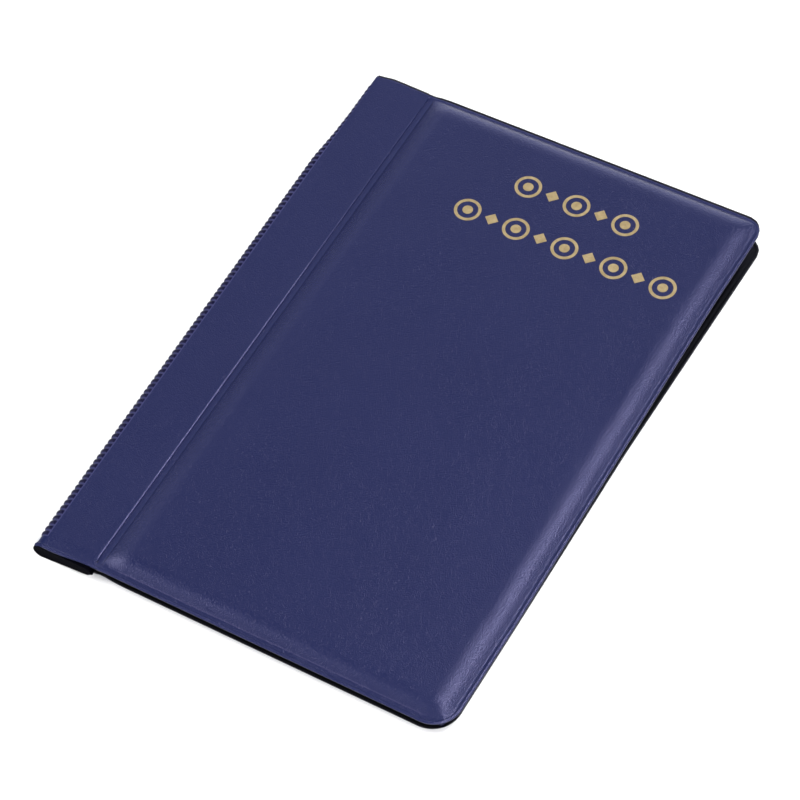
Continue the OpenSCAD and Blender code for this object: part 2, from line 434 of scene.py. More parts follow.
RIB_PITCH = 2.09
RIB_FOOT = 3.0                          # length of the plain ends of the fold
RIB_HEAD = 6.0
SQUEEZE_Y = (HALF_L - 39, HALF_L - 28, HALF_L - 19, HALF_L)
SQUEEZE = (1.0, 0.64, 0.48, 0.42)       # width of the spine fold at those places
CREASE_SLANT = 0.65 / 100               # the crease leans to the fore-edge towards the head
WELD_FOOT = (2.9 - HALF_L, 3.6 - HALF_L)  # the weld line of the crease rises between these
WELD_HEAD = (HALF_L - 11, HALF_L - 9)   # and dies out between these
FRONT_FROM = 4.7                        # the outside of the front skin lies above this

# Painted highlights laid into the colour of the crease weld line and of the foot weld line.
CREASE_PAINTED_HIGHLIGHT = rgb(0.055, 0.055, 0.13)
FOOT_WELD_PAINTED_HIGHLIGHT = rgb(0.019, 0.02, 0.062)
# Painted highlights on the spine fold's seam and pressed lines, and painted shade on its ribs.
SEAM_PAINTED_HIGHLIGHT = rgb(0.033, 0.035, 0.095)
RIB_LINE_PAINTED_HIGHLIGHT = rgb(0.036, 0.038, 0.105)
RIB_PAINTED_SHADE = rgb(0.002, 0.002, 0.018)
BLUES = (rgb(0.0068, 0.0099, 0.0445), rgb(0.0079, 0.0113, 0.049))
BLACKS = (rgb(0.0012, 0.0012, 0.0015), rgb(0.002, 0.002, 0.0025))
# Black of the lining, painted darker still as painted shade for the foot end of the spine.
BLACKS_WITH_PAINTED_SHADE = (rgb(0.0003, 0.0003, 0.0009), rgb(0.0004, 0.0004, 0.0012))
BLUE_SHINE = rgb(0.62, 0.60, 1.0)
GREY_SHINE = rgb(0.78, 0.78, 1.0)

# Blue vinyl of the covers, with painted highlight on its weld lines.
blue = vinyl("blue_vinyl", *BLUES, BLUE_SHINE, grain_mm=0.38, depth_mm=0.09, rough=0.2,
             gloss=0.62, marks=weld_painted_highlight)
# Copy of the blue vinyl for the spine fold, with painted shade on its ribs and painted highlight
# on its seam and pressed lines.
blue_fold = vinyl("blue_vinyl_fold", *BLUES, BLUE_SHINE, grain_mm=0.4, depth_mm=0.02,
                  rough=0.5, gloss=0.1, marks=fold_painted_shade_and_highlight)
black = vinyl("black_vinyl", *BLACKS, GREY_SHINE, grain_mm=0.45, depth_mm=0.03, rough=0.45,
              gloss=0.22)
# Darker copy of the black vinyl: painted shade on the black edge at the foot of the spine and on
# the binding block.
dull_black_with_painted_shade = vinyl("black_vinyl_painted_shade", *BLACKS_WITH_PAINTED_SHADE, BLUE_SHINE, grain_mm=0.4, depth_mm=0.02,
                   rough=0.6, gloss=0.03)
film = clear_film()
foam = foam_sheet()
board = grey_board()
gold = gold_foil()


# ---------- plan of a cover with its strip ----------

# Distances of the mesh rings from the outline, close together on the bead and at the weld.
RIM_AT = (0, 0.07, 0.16, 0.3, 0.5, 0.68, 0.76, 0.84, 0.93, 1.05, 1.25, 1.5, 1.75, 2.0, 2.2,
          2.32, 2.42, 2.55, 2.75, 3.05, 3.5, 4.1, RIM)


def arc(cx, cy, r, a0, a1, n=7):
    angles = np.radians(np.linspace(a0, a1, n))
    return np.stack([cx + r * np.cos(angles), cy + r * np.sin(angles)], 1)


def along(line, fractions):
    """Points at fractions of the length of a line of points."""
    seg = np.linalg.norm(np.diff(line, axis=0), axis=1)
    s = np.concatenate([[0], np.cumsum(seg)]) / seg.sum()
    return np.stack([np.interp(fractions, s, line[:, i]) for i in (0, 1)], 1)


def cover_plan(first_x=FOLD_X - 0.01):
    """Plan of a padded cover: rings round the three hemmed sides, a grid inside them, and
    the crease and strip beside it, all meeting point to point."""
    plan = Plan()
    side = HALF_L - RIM
    edge = FORE_X - RIM
    rf, rh = FOOT_CORNER_R - RIM, HEAD_CORNER_R - RIM
    foot = np.concatenate([[(COVER_X, -side)], arc(edge - rf, rf - side, rf, -90, -45)])
    head = np.concatenate([[(COVER_X, side)], arc(edge - rh, side - rh, rh, 90, 45)])
    fore = np.concatenate([arc(edge - rf, rf - side, rf, -45, 0),
                           arc(edge - rh, side - rh, rh, 0, 45)])
    u = graded(edge - COVER_X, fine=0.45, coarse=2.4, zone_a=9, zone_b=7, tip_a=0.45, tip_b=0.12)
    v = graded(2 * side, fine=0.7, coarse=2.6, zone_a=9, zone_b=9, tip_a=0.12, tip_b=0.12)
    foot_at, fore_at, head_at = along(foot, u), along(fore, v), along(head, u)
    left_at = np.stack([np.full_like(v, COVER_X), -side + 2 * side * v], 1)
    uu, vv = u[:, None, None], v[None, :, None]
    grid = ((1 - vv) * foot_at[:, None] + vv * head_at[:, None]
            + (1 - uu) * left_at[None] + uu * fore_at[None]
            - (1 - uu) * (1 - vv) * left_at[0] - (1 - uu) * vv * left_at[-1]
            - uu * (1 - vv) * foot_at[-1] - uu * vv * head_at[-1])
    plan.patch(grid)
    ring = np.concatenate([foot_at, fore_at[1:], head_at[-2::-1]])
    out = np.stack(outward(ring[:, 0], ring[:, 1]), 1)
    rings = [ring + out * (RIM - d) for d in RIM_AT]
    plan.patch(np.array(rings))
    ends = np.array(RIM_AT)
    ys = np.concatenate([-HALF_L + ends, left_at[1:-1, 1], (HALF_L - ends)[::-1]])
    plan.patch(np.array([[(x, y) for y in ys] for x in strip_stations() if x >= first_x]))
    return plan


def strip_stations():
    """X of the mesh lines from the top of the spine fold to the inner edge of the cover."""
    strip = FOLD_X + (CREASE_X - 1.2 - FOLD_X) * np.linspace(0, 1, 13)
    near_fold = FOLD_X + np.array([0.25, 0.5, 0.8])
    weld = CREASE_X + np.array([-0.8, -0.5, -0.36, -0.3, -0.25, -0.2, -0.1, 0, 0.1, 0.15, 0.2,
                                0.25, 0.3, 0.4, 0.6, 1.0, 1.4, 1.8, 2.1, 2.4, 2.7])
    return sorted({*np.round(strip, 3), *np.round(near_fold, 3), *np.round(weld, 3),
                   round(float(COVER_X), 4)})


def corner_frame(x, y):
    """Corner radius on this half of a cover, and place relative to the middle of its arc."""
    r = np.where(y < 0, FOOT_CORNER_R, HEAD_CORNER_R)
    return r, x - (FORE_X - r), np.abs(y) - (HALF_L - r)


def outward(x, y):
    """Direction from inside a cover to the nearest point of its outline."""
    _, px, py = corner_frame(x, y)
    in_corner = (px > 0) & (py > 0)
    length = np.maximum(np.hypot(px, py), 1e-6)
    to_x = np.where(in_corner, px / length, px > py)
    to_y = np.where(in_corner, py / length, px <= py)
    return to_x, to_y * np.sign(y)


def rim_distance(x, y):
    """Distance inwards from the outline of a cover, which has round fore-edge corners."""
    r, px, py = corner_frame(x, y)
    corner = np.hypot(np.clip(px, 0, None), np.clip(py, 0, None))
    return r - np.where((px > 0) & (py > 0), corner, np.maximum(px, py))


def pad_sides(x, y):
    """Distances inwards from the fore-edge weld line and from the nearer of the foot and
    head weld lines. The lines meet in sharp corners."""
    hem = np.where(y < 0, HEM_W, HEAD_HEM_W)
    return FORE_X - FORE_HEM_W - x, HALF_L - hem - np.abs(y)


def pad_distance(x, y):
    return np.minimum(*pad_sides(x, y))


# ---------- where the parts of a cover lie ----------

CORNER_LIFT = 5.28                      # rise of the front cover's head and fore-edge corner
FOOT_SWELL = 0.45                       # the front cover widens by this past its foot corner
HEAD_SWELL = 0.6                        # and by this more before its head corner
HEAD_RISE = 0.35                        # its head edge stands further out than the strip's
LEAN_END = 25.0                         # the lean of the crease dies out in this width
BACK_SHIFT_Y = (-HALF_L, -60, 10, 85, HALF_L)
BACK_SHIFT = (-0.6, -0.3, -0.2, 1.65, 2.1)  # how far out the back fore-edge lies there
BACK_HEAD_DROP = 1.5                    # the back cover's head corner lies this far in
BACK_FOOT_TRIM = 0.7                    # the back strip's foot edge is cut back by this
FOOT_RISE = 0.8                         # the back hem's rise at the foot end of the crease


def across(x):
    """0 at the hinge to 1 at the fore-edge."""
    return np.clip((x - HINGE_X) / (FORE_X - HINGE_X), 0, 1)


def lift(x, y):
    """How far the front cover stands up towards its head and fore-edge corner."""
    return CORNER_LIFT * across(x) * np.clip((y + HALF_L) / (2 * HALF_L), 0, 1)


def slanted(x, y):
    """X moved with the lean of the crease, which dies out in the strip and the padding."""
    near = smooth(FOLD_X, CREASE_X, x) * (1 - smooth(COVER_X, COVER_X + LEAN_END, x))
    return x + CREASE_SLANT * y * near


def head_trim(x, y):
    """The head end is cut back by a millimetre beside the spine fold."""
    return (1 - smooth(FOLD_X - 1, FOLD_X + 6, x)) * at_head(y)


def front_place(x, y, head_step):
    """Plan of a front sheet, with its head edge set back or brought forward."""
    fore = FOOT_SWELL * smooth(-95, -60, y) + HEAD_SWELL * smooth(60, 95, y)
    up = head_step + HEAD_RISE * smooth(COVER_X - 4, COVER_X + 6, x)
    down = FOOT_STEP * (1 - smooth(FOLD_X + 4, CREASE_X, x))
    return (slanted(x, y) + fore * across(x),
            y + up * at_head(y) - down * at_foot(y) - head_trim(x, y))


def back_place(x, y, grow):
    """Plan of a back sheet: the head corner sits a little out and the foot corner in. Its
    outline can be grown by a hair's breadth."""
    shift = np.interp(y, BACK_SHIFT_Y, BACK_SHIFT) * across(x)
    down = BACK_HEAD_DROP * smooth(30, HALF_L, y) * across(x) + head_trim(x, y)
    beside_crease = 1 - smooth(COVER_X - 6, COVER_X + 3, x)
    up = BACK_FOOT_TRIM * smooth(6 - HALF_L, -HALF_L, y) * beside_crease
    out_x, out_y = outward(x, y)
    edge = grow * (1 - smooth(0, 0.12, rim_distance(x, y)))
    return x + shift + edge * out_x, y + up - down + edge * out_y


# ---------- relief of the covers ----------

HEM_BEAD_H = 0.21
HEM_EDGE_H = 0.2                        # the outermost edge of the hem is rounded off by this
CHANNEL_H = 0.16                        # depth of the channel inside the hem bead
FOOT_WELD_H = 0.1                       # ridge along the foot weld line
CREASE_WELD_H = 0.13                    # ridge along the crease
KNOT_H = 0.15                           # blob where the crease weld ends at the foot
GROOVE_H = 0.3                          # depth of the crease
DOME_H = 0.3                            # rise of the padding to the middle of the cover
SOFT_H = 0.045                          # unevenness of the padding
# Width of each side slope of the padding, and the power that makes it steep at its foot.
FORE_SLOPE = (7.4, 2.1)
FOOT_SLOPE = (6.0, 2.0)
HEAD_SLOPE = (7.5, 2.6)
CREASE_SLOPE = (7.0, 1.7)


def hem_relief(x, y):
    """Bead along the edge, sloping outwards, then a pressed channel inside it."""
    d = rim_distance(x, y)
    head = smooth(HALF_L - 8, HALF_L - 3, y)
    inside = smooth(0.2, 3.0, pad_distance(x, y))
    channel = CHANNEL_H * smooth(0.75, 1.0, d) * (1 - inside) * (1 - head)
    edge = HEM_EDGE_H * (1 - smooth(0, 0.16, d))
    bead = HEM_BEAD_H * np.clip((d - 0.08) / 0.62, 0, 1) * (1 - smooth(0.72, 0.95, d))
    return bead * (1 - 0.6 * head) - channel - edge


def slope(e, width, power):
    """Rise from 0 at a weld line to 1 on the flat of the padding, steepest at the line."""
    return 1 - np.clip(1 - np.clip(e, 0, None) / width, 0, 1) ** power


def pad_relief(x, y, crown):
    """Height of the padding over the hem."""
    ex, ey = pad_sides(x, y)
    c = x - COVER_X + PAD_START
    weld = np.exp(-((ey - 0.05) / 0.15) ** 2) * smooth(1.5, 5, ex) * smooth(1, 4, c)
    ends = np.where(y < 0, slope(ey, *FOOT_SLOPE), slope(ey, *HEAD_SLOPE))
    pad = slope(ex, *FORE_SLOPE) * smooth(-0.9, 0.3, ex) * ends * slope(c, *CREASE_SLOPE)
    return FOOT_WELD_H * weld * (y < 0) + crown * pad


def crease_relief(x, y):
    """Pressed groove of the crease, with the thin weld ridge along its spine side."""
    from_end = HALF_L - np.abs(y)
    groove = smooth(CREASE_X + 0.12, CREASE_X + 0.32, x)
    groove = groove * (1 - smooth(COVER_X - 1.4, COVER_X - 0.3, x)) * smooth(0.6, 2.4, from_end)
    reach = smooth(*WELD_FOOT, y) * (1 - smooth(*WELD_HEAD, y)) * (1 - 0.75 * smooth(5, 60, y))
    from_weld = x - CREASE_X + 0.2
    weld = smooth(-0.12, 0, from_weld) * np.clip(1 - 0.8 * from_weld / 0.35, 0, 1) * reach
    knot = np.exp(-((x - CREASE_X + 0.1) ** 2 + (y + HALF_L - 2.2) ** 2) / 0.1)
    return CREASE_WELD_H * weld + KNOT_H * knot - GROOVE_H * groove


def strip_relief(x, y):
    """The unpadded strip of the front, slightly uneven over the block."""
    uneven = 0.09 * np.tanh(waves(x, 0.6 * y, 4, 26)) - 0.03
    return uneven * smooth(FOLD_X, FOLD_X + 3, x) * (1 - smooth(CREASE_X - 2, CREASE_X, x))


def front_outside(x, y):
    """Height of the outer face of the front cover and strip."""
    dome = DOME_H * (1 - ((x - 12) / 60) ** 2) * (1 - (y / HALF_L) ** 2)
    soft = SOFT_H * waves(x, y, 11, 26) * smooth(1, 12, pad_distance(x, y))
    crown = FRONT_TOP - HEM_Z - DOME_H
    cover = pad_relief(x, y, crown) + (dome + soft) * smooth(0, 14, x - COVER_X)
    cover = np.where(x >= COVER_X - PAD_START, cover, 0)
    return (HEM_Z + hem_relief(x, y) + crease_relief(x, y) + strip_relief(x, y)
            + cover + lift(x, y))


def skin_depth(x, y):
    """Thickness of a skin, which is pressed thinner in the hem."""
    pressed = 0.1
    return SKIN_T - pressed * (1 - smooth(-0.2, 0.6, pad_distance(x, y)))


def cover_sheet(name, body, plan, top, bottom, placed, material, replaces):
    """Closed sheet of a cover and its strip, with its points moved in plan."""
    points, faces = closed_sheet(plan, top, bottom)
    for i in (0, 1):
        points[:, i] = np.tile(placed[i], 2)
    obj = piece(name, points, faces, material, None, (replaces,))
    bend(obj, body, *BEND)
    return obj


def build_front_skin():
    plan = cover_plan()
    x, y = plan.xy()
    top = front_outside(x, y)
    skin = cover_sheet("front_skin_padded", "front_cover", plan, top, top - skin_depth(x, y),
                       front_place(x, y, -HEAD_STEP), blue, "front_skin")


def taper(x):
    """Rise of the underside of the back strip from the fold to the crease."""
    return STRIP_TAPER * np.clip((x - FOLD_X) / (CREASE_X - FOLD_X), 0, 1)


def foot_rise(x, y):
    """The back hem stands a little higher at the foot end of the crease."""
    beside_crease = 1 - smooth(COVER_X - 2, COVER_X + 8, x)
    return FOOT_RISE * smooth(6 - HALF_L, -HALF_L, y) * beside_crease


def back_outside(x, y):
    """Height of the outer face of the back cover and strip, which face the table."""
    cover = BACK_HEM_Z - pad_relief(x, y, BACK_HEM_Z) - hem_relief(x, y)
    cover = np.maximum(cover, 0)
    strip = taper(x) - 0.6 * np.minimum(hem_relief(x, y), 0)
    t = smooth(CREASE_X, COVER_X + 1, x)
    groove = smooth(CREASE_X, HINGE_X, x) * (1 - smooth(HINGE_X, COVER_X, x))
    return strip * (1 - t) + (cover + foot_rise(x, y)) * t + GROOVE_H * groove


def build_back_skin():
    plan = cover_plan()
    x, y = plan.xy()
    low = back_outside(x, y)
    skin = cover_sheet("back_skin_padded", "back_cover", plan, low + skin_depth(x, y), low,
                       back_place(x, y, 0), blue, "back_skin")


# ---------- spine fold ----------

def rib_rows(y):
    """1 where the fold is ribbed, 0 on its plain ends."""
    rows = smooth(-HALF_L + RIB_FOOT - 0.4, -HALF_L + RIB_FOOT + 0.4, y)
    return rows * (1 - smooth(HALF_L - RIB_HEAD - 0.4, HALF_L - RIB_HEAD + 0.4, y))


def rib_profile(y):
    """Row of rounded ribs parted by narrow pressed lines, 0 in a line and 1 on a rib."""
    return np.abs(np.sin(math.pi * (y + HALF_L - RIB_FOOT) / RIB_PITCH)) ** 0.7


def wrap(name, ys, path_out, path_in, material, replaces):
    """Closed sheet swept along Y. A path gives X and Z for every step round and every Y."""
    rows = len(path_out)
    cols = len(ys)
    shells = []
    for path in (path_out, path_in):
        y = ys - head_trim(path[..., 0], np.broadcast_to(ys, (rows, cols)))
        shells.append(np.stack([path[..., 0], y, path[..., 1]], -1).reshape(-1, 3))
    half = rows * cols
    faces = []
    for i in range(rows - 1):
        for j in range(cols - 1):
            a = i * cols + j
            quad = [a + 1, a + cols + 1, a + cols, a]
            faces.append(quad)
            faces.append([k + half for k in reversed(quad)])
    edges = {(f[i], f[(i + 1) % 4]) for f in faces[::2] for i in range(4)}
    faces += [[b, a, a + half, b + half] for a, b in edges if (b, a) not in edges]
    piece(name, np.concatenate(shells), faces, material, "spine", replaces, sharp=60)


def squeeze(y):
    """The fold is pressed narrower towards its head end."""
    return np.interp(y, SQUEEZE_Y, SQUEEZE)


def fold_path(phi, radius, ys):
    """X and Z on the round fold, from over the spine (0) to under it (pi)."""
    x = FOLD_X - radius * np.sin(phi)[:, None] * squeeze(ys)[None, :]
    z = SPINE_T / 2 + radius * np.cos(phi)[:, None]
    return np.stack(np.broadcast_arrays(x, z), -1)


def build_spine_fold():
    """The round of the spine with its pressed ribs, from over the strip to under it."""
    points_per_rib, rib_out, rib_in = 12, 0.34, 0.38
    ys = np.linspace(-HALF_L, HALF_L, round(2 * HALF_L / RIB_PITCH * points_per_rib))
    degrees = np.concatenate([np.linspace(0, 16, 13), np.linspace(18, 36, 10),
                              np.linspace(40, 180, 32)])
    phi = np.radians(degrees)
    band = smooth(7, 15, degrees) * (1 - smooth(145, 168, degrees))
    ribs = ((rib_out + rib_in) * rib_profile(ys) - rib_in) * rib_rows(ys)
    hem = hem_relief(np.full_like(ys, FOLD_X), ys)
    hem_band = 1 - smooth(110, 160, degrees)
    radius = FOLD_R + ribs * band[:, None] + hem * hem_band[:, None]
    inner = np.full_like(radius, WRAP_R + GAP)
    placed = ys - HEAD_STEP * at_head(ys) - FOOT_STEP * at_foot(ys)
    wrap("spine_fold_ribbed", placed, fold_path(phi, radius, ys), fold_path(phi, inner, ys),
         blue_fold, ("spine_skin",))


def web_path(x, radius, under):
    """X and Z along the flat part of a wrap, over or under the strips."""
    z = SPINE_T / 2 + (taper(x) - radius if under else radius)
    return np.stack([x, z + 0 * x], -1)[:, None]


def spine_path(radius, ys):
    """X and Z of a wrap that runs along the front strip, round the fold and back."""
    web = np.linspace(CREASE_X - 0.05, FOLD_X, 14)[:-1]
    phi = np.radians(np.linspace(0, 180, 31))
    parts = [np.repeat(web_path(web, radius, False), len(ys), 1),
             fold_path(phi, np.full((1, 1), radius), ys),
             np.repeat(web_path(web[::-1], radius, True), len(ys), 1)]
    return np.concatenate(parts)


def build_spine_lining():
    """Black lining inside the round of the spine and along both strips."""
    ys = np.linspace(-HALF_L + 0.25, HALF_L + 0.15, 90)
    wrap("spine_lining_wrap", ys, spine_path(WRAP_R, ys), spine_path(WRAP_R - 0.15, ys), black,
         ("spine_lining",))


def build_end_binding():
    """Black edge that stands out below the strip at the foot of the spine. It rises towards
    the crease and curls up beside it."""
    end_x, curl_w, curl_h, rise = CREASE_X + 0.2, 2.8, 1.3, 0.45
    phi = np.radians(np.linspace(58, 180, 25))
    ys = np.array([END_Y - 0.1, END_Y, 0.5 - HALF_L])
    web = np.linspace(FOLD_X, end_x, 20)[1:]
    lift_at = curl_h * smooth(end_x - curl_w, end_x, web) ** 2 + rise * taper(web) / STRIP_TAPER
    paths = []
    for radius in (FOLD_R - 0.02, WRAP_R - 0.12):
        bottom = np.repeat(web_path(web, radius, True), len(ys), 1)
        bottom[..., 1] += lift_at[:, None]
        paths.append(np.concatenate([fold_path(phi, np.full((1, 1), radius), ys), bottom]))
    # Its black is painted darker than the lining, as painted shade at the foot end.
    wrap("spine_end_foot", ys, paths[0], paths[1], dull_black_with_painted_shade, ())


# ---------- linings, boards and foam ----------

def front_inside(x, y):
    """Height of the lower face of the front lining."""
    hem = HEM_Z - 0.5
    inner = HEM_Z + 0.02
    web = HEM_Z - SKIN_T - 0.5
    cover = hem + (inner - hem) * smooth(0.1, 1.4, pad_distance(x, y))
    return web + (cover - web) * smooth(CREASE_X + 1.4, COVER_X + 1.2, x) + lift(x, y)


def back_inside(x, y):
    """Height of the upper face of the back lining."""
    hem = BACK_HEM_Z + 0.42 + 0.12 * bump(rim_distance(x, y), 0.45, 0.4)
    inner = BACK_HEM_Z - 0.02
    cover = hem + (inner - hem) * smooth(0.1, 1.4, pad_distance(x, y)) + foot_rise(x, y)
    web = STRIP_TAPER + SKIN_T + 0.48
    return web + (cover - web) * smooth(CREASE_X, COVER_X + 1.5, x)


def build_linings():
    """Both linings. The back one wraps the edge of the hem."""
    front_out, back_out, wrapped = 0.15, 0.1, 0.12
    plan = cover_plan(CREASE_X - 0.85)
    x, y = plan.xy()
    low = front_inside(x, y)
    cover_sheet("front_lining_sheet", "front_cover", plan, low + LINING_T, low,
                front_place(x, y, front_out), black, "front_lining")
    high = back_inside(x, y)
    low = np.where(rim_distance(x, y) < wrapped, back_outside(x, y), high - LINING_T)
    cover_sheet("back_lining_sheet", "back_cover", plan, high, low,
                back_place(x, y, back_out), black, "back_lining")


def rectangle_plan(x0, x1, y0, y1, nx, ny):
    plan = Plan()
    plan.patch(np.array([[(x, y) for y in np.linspace(y0, y1, ny)]
                         for x in np.linspace(x0, x1, nx)]))
    return plan


def foam_grid():
    inset = 1.6
    rim = HEM_W + inset
    return rectangle_plan(COVER_X + inset, FORE_X - rim, rim - HALF_L, HALF_L - rim, 44, 70)


def over_board(x, y):
    """Where the foam lies on a board, with a millimetre to spare."""
    low, high = front_board_low, front_board_high
    return (x > low[0] - 1) & (x < high[0] + 1) & (np.abs(y) < high[1] + 1)


def build_front_core():
    """Board and foam of the front cover, which follow its lifted corner."""
    low, high = front_board_low, front_board_high
    plan = rectangle_plan(low[0], high[0], low[1], high[1], 30, 44)
    x, y = plan.xy()
    up = lift(x, y)
    points, faces = closed_sheet(plan, high[2] + up, low[2] + up)
    piece("front_board_sheet", points, faces, board, "front_cover", ("front_board",))
    plan = foam_grid()
    x, y = plan.xy()
    floor = np.where(over_board(x, y), high[2] + GAP, front_lining_high[2]) + lift(x, y)
    top = front_outside(x, y) - SKIN_T - GAP
    points, faces = closed_sheet(plan, top, np.minimum(floor, top - 0.05))
    obj = piece("front_foam_sheet", points, faces, foam, "front_cover", ("front_foam",))


def build_back_foam():
    """Foam between the back skin and its board, or its lining past the board."""
    plan = foam_grid()
    x, y = plan.xy()
    ceiling = np.where(over_board(x, y), back_board_low[2] - GAP, back_lining_low[2])
    low = back_outside(x, y) + SKIN_T + GAP
    points, faces = closed_sheet(plan, np.maximum(ceiling, low + 0.05), low)
    obj = piece("back_foam_sheet", points, faces, foam, "back_cover", ("back_foam",))


def keep_cad(node, material):
    """Gives a CAD node that stays as it is a finished material."""
    obj = frame["nodes"][node]
    obj.data.materials.clear()
    obj.data.materials.append(material)


# ---------- binding block ----------

def ring_faces(a, b, n):
    """Faces round a closed stack between the station that starts at point a and the one at
    b. Each has n points up its back and n up its other side."""
    faces = []
    for k in range(n - 1):
        faces.append([a + k, a + k + 1, b + k + 1, b + k])
        faces.append([b + n + k, b + n + k + 1, a + n + k + 1, a + n + k])
    faces.append([a, b, b + n, a + n])
    faces.append([a + 2 * n - 1, b + 2 * n - 1, b + n - 1, a + n - 1])
    return faces


def build_block():
    """Page roots and spacers in the spine: a stack with a round back, its layers just
    showing at both ends, thinner towards the crease."""
    layers, per_layer, notch_depth, page_side_round = 20, 4, 0.07, 1.6
    head = HALF_L - 1.6
    levels = np.linspace(-1, 1, per_layer * layers + 1)
    notch = np.where(np.arange(len(levels)) % per_layer == 0, notch_depth, 0)
    right = BLOCK_X - 0.2 - page_side_round * levels ** 2
    z_left = SPINE_T / 2 + BLOCK_R * levels
    z_right = z_left + taper(right) * (1 - levels) / 2
    stations = (END_Y, *SQUEEZE_Y[:-1], head)
    n = len(levels)
    points, faces = [], []
    for i, y in enumerate(stations):
        left = FOLD_X - BLOCK_R * np.sqrt(np.clip(1 - levels ** 2, 0, 1)) * squeeze(y)
        inset = notch * (float(y == END_Y) - float(y == head))
        for side_x, side_z in ((left, z_left), (right, z_right)):
            points.append(np.stack([side_x, y + inset, side_z], 1))
        if i > 0:
            faces += ring_faces(2 * (i - 1) * n, 2 * i * n, n)
    last = 2 * (len(stations) - 1) * n
    for k in range(n - 1):
        faces.append([k, k + n, k + n + 1, k + 1])
        faces.append([last + k + 1, last + k + n + 1, last + k + n, last + k])
    piece("binding_block_layers", np.concatenate(points), faces, dull_black_with_painted_shade,
          "spine", ("binding_block",), sharp=30)


# ---------- foil motif ----------

MOTIF_ROWS = ((15.2, 81.0, 5), (19.5, 64.5, 9))  # middle of a row and its number of marks
MARK_PITCH = 8.4
RING_R = 4.3
RING_W = 1.0
LOZENGE_R = 2.3


def disc_rings(cx, cy, radii, n=64):
    """Grid of a flat ring between the first and last radius."""
    angles = np.linspace(0, 2 * math.pi, n + 1)
    return np.array([[(cx + r * math.cos(a), cy + r * math.sin(a)) for a in angles]
                     for r in radii])


def lozenge(cx, cy, r):
    """Grid of a square that stands on a corner."""
    u = np.linspace(-1, 1, 9)
    return np.array([[(cx + r * (a + b) / 2, cy + r * (a - b) / 2) for b in u] for a in u])


def build_foil():
    """Rings with a dot in them, and lozenges between them, laid on the padding."""
    foil_over, foil_under = 0.03, 0.05
    plan = Plan()
    for mx, my, marks in MOTIF_ROWS:
        for i in range(marks):
            x = mx + (i - (marks - 1) / 2) * MARK_PITCH
            if i % 2 == 0:
                plan.patch(disc_rings(x, my, np.linspace(RING_R - RING_W, RING_R, 4)))
                plan.patch(disc_rings(x, my, np.linspace(0.05, RING_R / 2.6, 6)))
            else:
                plan.patch(lozenge(x, my, LOZENGE_R))
    x, y = plan.xy()
    ground = front_outside(x, y)
    points, faces = closed_sheet(plan, ground + foil_over, ground - foil_under)
    piece("foil_motif_stamped", points, faces, gold, "front_cover",
          ("foil_motif",))


# ---------- pages ----------

POCKET_ROWS = 6
POCKET_COLUMNS = 3
WELD_W = 1.6                            # welded film between pockets
EDGE_W = 0.4                            # film left free at the foot of a pocket
MOUTH_H = 1.6                           # open mouth along the top of each pocket
FLAP_L = 9.0
PAGE_LIFT = 0.8                         # how far the top page follows the lifted corner
ROOT_TOP = HEM_Z - 0.95
ROOT_DEPTH = 1.95                       # the pages leave the block in this thickness
PLAIN_W = 4.0                           # film without pockets beside the crease
FREE_EDGE = 0.3                         # films end this far short of the CAD page's edge


def page_lift(x, y, number):
    """Pages fan out between the flat back cover and the lifted front corner."""
    return PAGE_LIFT * (1 - (number - 0.5) / len(page_bodies)) * lift(x, y)


def page_part(name, plan, low, high, body, number, replaces):
    """Film of a page that rides on its page."""
    x, y = plan.xy()
    up = page_lift(x, y, number)
    points, faces = closed_sheet(plan, high(x, y) + up, low(x, y) + up)
    piece(name, points, faces, film, body, (replaces,))


def build_leaf(body, number):
    """Backing film of a page, with the root that bends beside the binding block."""
    low, high = box_mm(body + "_leaf")
    root_z = ROOT_TOP - ROOT_DEPTH * (number - 0.5) / len(page_bodies)
    xs = np.concatenate([np.linspace(BLOCK_X - 2.0, COVER_X + 4, 26),
                         np.linspace(COVER_X + 6, high[0] - FREE_EDGE, 34)])
    plan = Plan()
    plan.patch(np.array([[(x, y) for y in np.linspace(low[1], high[1], 60)] for x in xs]))
    x, y = plan.xy()
    flat = smooth(HINGE_X - 1.2, COVER_X + 3.5, x)
    z = root_z + (low[2] - root_z) * flat + page_lift(x, y, number)
    points, faces = closed_sheet(plan, z + high[2] - low[2], z)
    obj = piece(body + "_leaf_film", points, faces, film, None,
                (body + "_leaf",))
    bend(obj, body, CREASE_X - 0.2, COVER_X)


def spaced(low, high, step):
    return np.linspace(low, high, max(2, round((high - low) / step) + 1))


